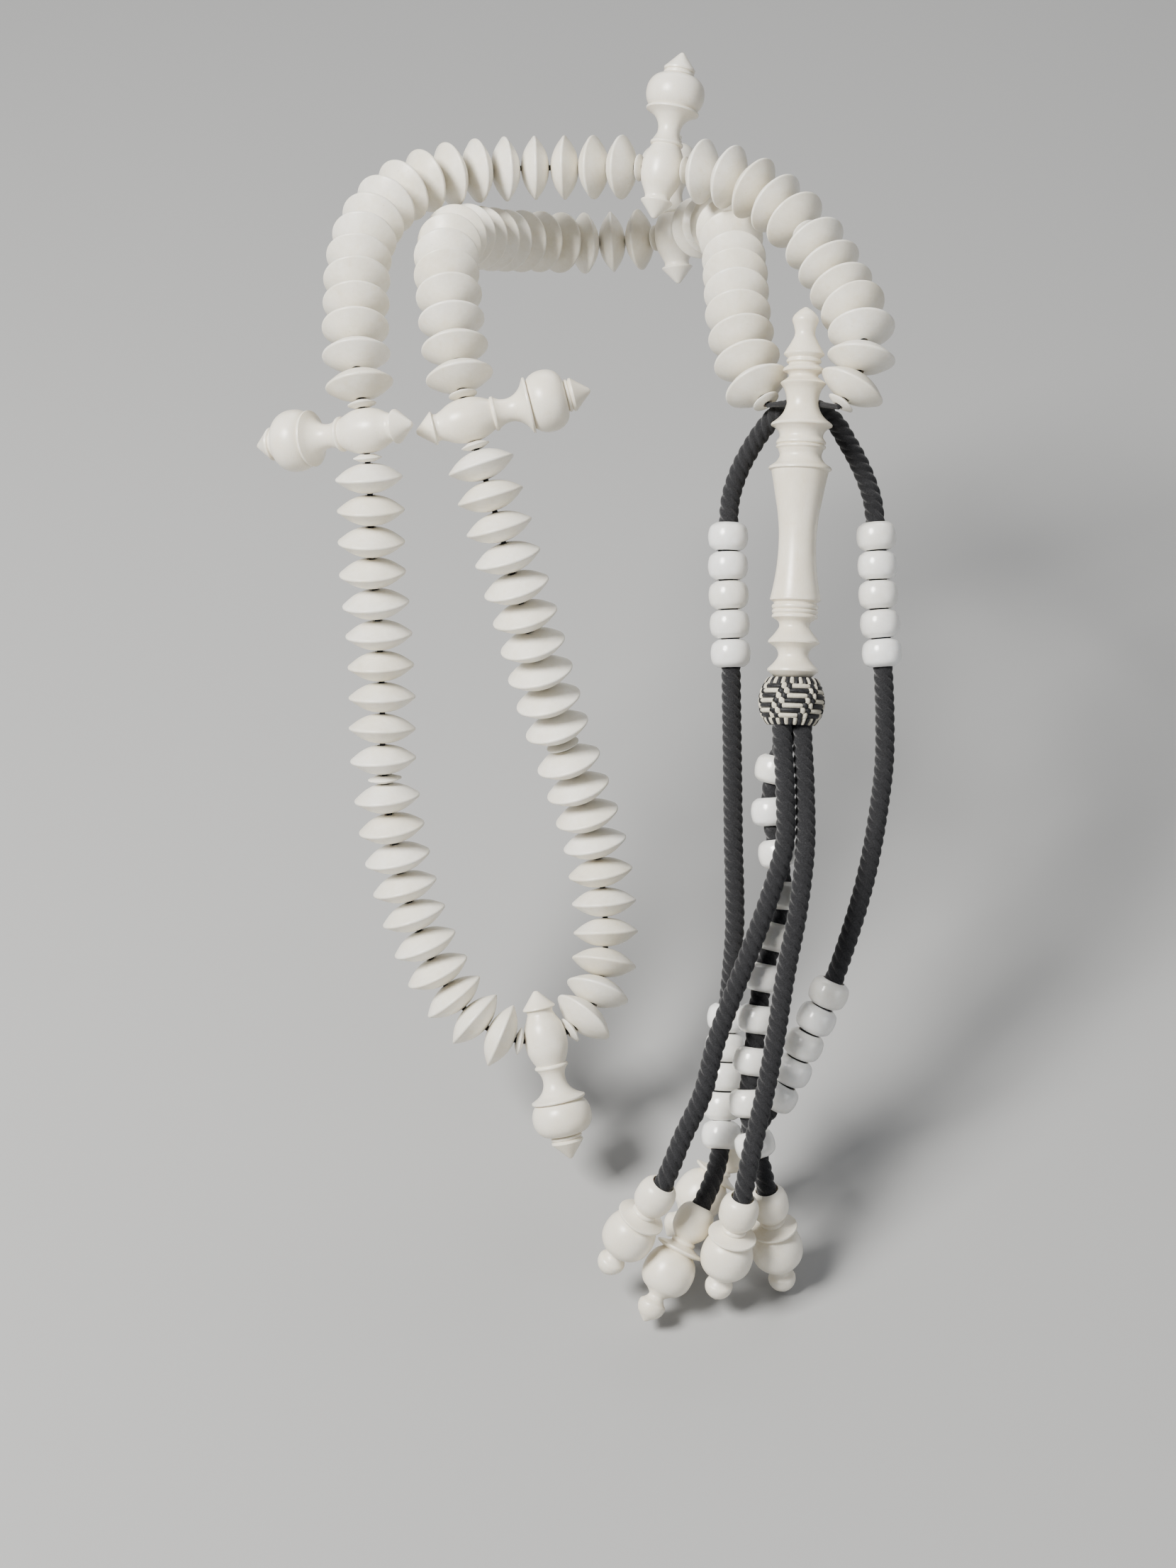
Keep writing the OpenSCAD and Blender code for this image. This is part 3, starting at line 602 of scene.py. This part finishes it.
def strip(kind, a0, a1, z0, z1, lift, along_a):
    """A flat strip of the weave, pillowed across its width and dipping at its ends."""
    verts, faces = tiles[kind]
    na = max(3, int(abs(a1 - a0) * WOVEN_R / 0.45))
    nz = max(3, int(abs(z1 - z0) / 0.28))
    base = len(verts)
    for i in range(na + 1):
        for j in range(nz + 1):
            u, w = i / na * 2 - 1, j / nz * 2 - 1
            across, lengthwise = (w, u) if along_a else (u, w)
            h = 0.34 * math.sqrt(max(0, 1 - across ** 4)) + lift * (1 - lengthwise ** 4)
            z = z0 + (z1 - z0) * j / nz
            a = a0 + (a1 - a0) * i / na
            r = barrel(z) - 0.55 + h
            verts.append(Vector((r * math.cos(a), r * math.sin(a), z)))
    for i in range(na):
        for j in range(nz):
            q = base + i * (nz + 1) + j
            faces.append((q, q + nz + 1, q + nz + 2, q + 1))


BLOCKS, ROWS = 6, 7
row_h = (WOVEN_H - 2.6) / ROWS
for b in range(BLOCKS):
    a_b = 2 * math.pi * b / BLOCKS
    wide = 2 * math.pi / BLOCKS
    for j in range(ROWS):
        z0 = -WOVEN_H / 2 + 1.3 + j * row_h
        lean_a = 0.075 * j
        strip((j + b) % 2, a_b + lean_a, a_b + lean_a + wide * 0.62,
              z0 + 0.05, z0 + row_h - 0.05, 0.16, True)
        for c in range(2):
            a_c = a_b + lean_a + wide * (0.64 + 0.18 * c)
            strip((j + b + c + 1) % 2, a_c, a_c + wide * 0.17,
                  z0 - 0.12, z0 + row_h + 0.12, 0.2, False)
ENDS = 36
for k in range(ENDS):
    a = 2 * math.pi * k / ENDS
    w = 2 * math.pi / ENDS
    strip(k % 2, a + 0.01, a + w - 0.01, WOVEN_H / 2 - 1.35, WOVEN_H / 2, 0.1, False)
    strip((k + 1) % 2, a + 0.01, a + w - 0.01, -WOVEN_H / 2, -WOVEN_H / 2 + 1.35, 0.1, False)
rows = [(-WOVEN_H / 2, 4.75), (-WOVEN_H / 2, barrel(WOVEN_H / 2) - 0.4)]
rows += [(z * WOVEN_H / 20, barrel(z * WOVEN_H / 20) - 0.5) for z in range(-9, 10)]
rows += [(WOVEN_H / 2, barrel(WOVEN_H / 2) - 0.4), (WOVEN_H / 2, 4.75)]
v, f = lathe(rows, 72, True)
at_weave = on_head @ Matrix.Translation((0, 0, WOVEN_MID))
build("woven_core", [(v, f, at_weave)], STRIP_BLACK, "head", ["woven_bead"], sharp=45)
for kind, mat, name in ((0, STRIP_CREAM, "weave_cream"), (1, STRIP_BLACK, "weave_black")):
    v, f = tiles[kind]
    build(name, [(v, f, at_weave)], mat, "head", sharp=60)

# ---------------------------------------------------------------- counting rings
RING_H, RING_R, RING_END, RING_BORE = 5.8, 4.2, 2.6, 2.3
RING_ROWS = ([(-RING_H / 2 + 0.05, RING_BORE), (-RING_H / 2, RING_BORE + 0.08)]
             + rounded([(-RING_H / 2, RING_END), (-0.44 * RING_H, 3.2), (-0.36 * RING_H, 3.72),
                        (-0.17 * RING_H, 4.1), (0, RING_R), (0.17 * RING_H, 4.1),
                        (0.36 * RING_H, 3.72), (0.44 * RING_H, 3.2), (RING_H / 2, RING_END)], 4)
             + [(RING_H / 2, RING_BORE + 0.08), (RING_H / 2 - 0.05, RING_BORE)])
PITCH, LOW_PITCH = 6.1, 6.15
A_TOP, A_LOW, B_TOP, B_LOW, E_TOP, E_PITCH = 32.6, 133.4, 33.3, 130.8, 15.3, 8.7
# Node, cord, length along the cord to the first ring, pitch, first, count, body.
GROUPS = [(f"ring_a{n + 1}", "a", A_TOP, PITCH, n, 1, f"ring_a{n + 1}") for n in range(5)]
GROUPS += [("rings_a_low", "a", A_LOW, LOW_PITCH, 0, 5, "strand"),
           ("rings_b_top", "b", B_TOP, PITCH, 0, 3, "strand"),
           ("ring_b4", "b", B_TOP, PITCH, 3, 1, "ring_b4"),
           ("ring_b5", "b", B_TOP, PITCH, 4, 1, "ring_b5"),
           ("rings_b_low", "b", B_LOW, LOW_PITCH, 0, 5, "strand"),
           ("rings_e", "e", E_TOP, E_PITCH, 0, 10, "head")]
on_cord = {k: [] for k in "abcde"}
for node, k, start, pitch, first, count, body in GROUPS:
    parts, tones = [], []
    for i in range(first, first + count):
        x = start + i * pitch
        v, f = lathe(RING_ROWS, 72, True)
        parts.append((v, f, aim(route[k].at(x), route[k].heading(x))))
        tones.append(rnd.random())
    o = build(node + "_glossy", parts, RING, body, [node], sharp=50, tones=tones)
    on_cord[k].append(o)

# ---------------------------------------------------------------- pendants
PENDANT = ([(1.2, 2.3), (0.12, 2.3), (0.03, 2.38)]
           + rounded([(0.05, 2.5), (0.9, 3.35), (2.3, 3.9), (4, 4), (5.7, 3.75), (7, 2.9),
                      (7.7, 2.2)], 6)
           + [(7.9, 2.45), (8.1, 2.6), (8.4, 2.6), (8.7, 2.4), (9.2, 3.4), (9.6, 4.95),
              (9.8, 5.05), (10, 5.02), (10.2, 4.85)]
           + rounded([(10.6, 3.4), (11.6, 4.4), (13.2, 5.15), (15.4, 5.4), (17.4, 5.05),
                      (19, 3.9), (20, 2.3), (20.7, 1.7), (21.3, 1.9), (22.2, 2.75)], 6)
           + rounded([(22.7, 2.9), (23.6, 2.8), (24.6, 2.3), (25.6, 1.2)], 5)
           + [(26.2, 0.5), (26.35, 0.25), (26.4, 0.1)])
for k in "abcde":
    v, f = lathe(PENDANT, 96)
    m = aim(leaning(ROUTES[k][-1]), leaning(DOWN[k]))
    o = build(f"pendant_{k}_turned", [(v, f, m)], TURNED, f"pendant_{k}",
              [f"pendant_{k}"], sharp=40, tones=[0.3 + 0.1 * "abcde".index(k)])
    on_cord[k].append(o)

PATH_STEPS = 34
for k in "abcde":
    r = route[k]
    path = [tuple(r.at(r.length * i / PATH_STEPS) * MM) for i in range(PATH_STEPS + 1)]

# ---------------------------------------------------------------- CAD nodes kept as they are
KEPT = {"main_string": STRING, "string_knot": STRING, "core_string": STRING,
        "bundle_knot": CORD, "cord_binding": CORD}
KEPT.update((f"end_knot_{k}", CORD) for k in "abcde")
for node, mat in KEPT.items():
    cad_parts[node].data.materials.clear()
    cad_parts[node].data.materials.append(mat)
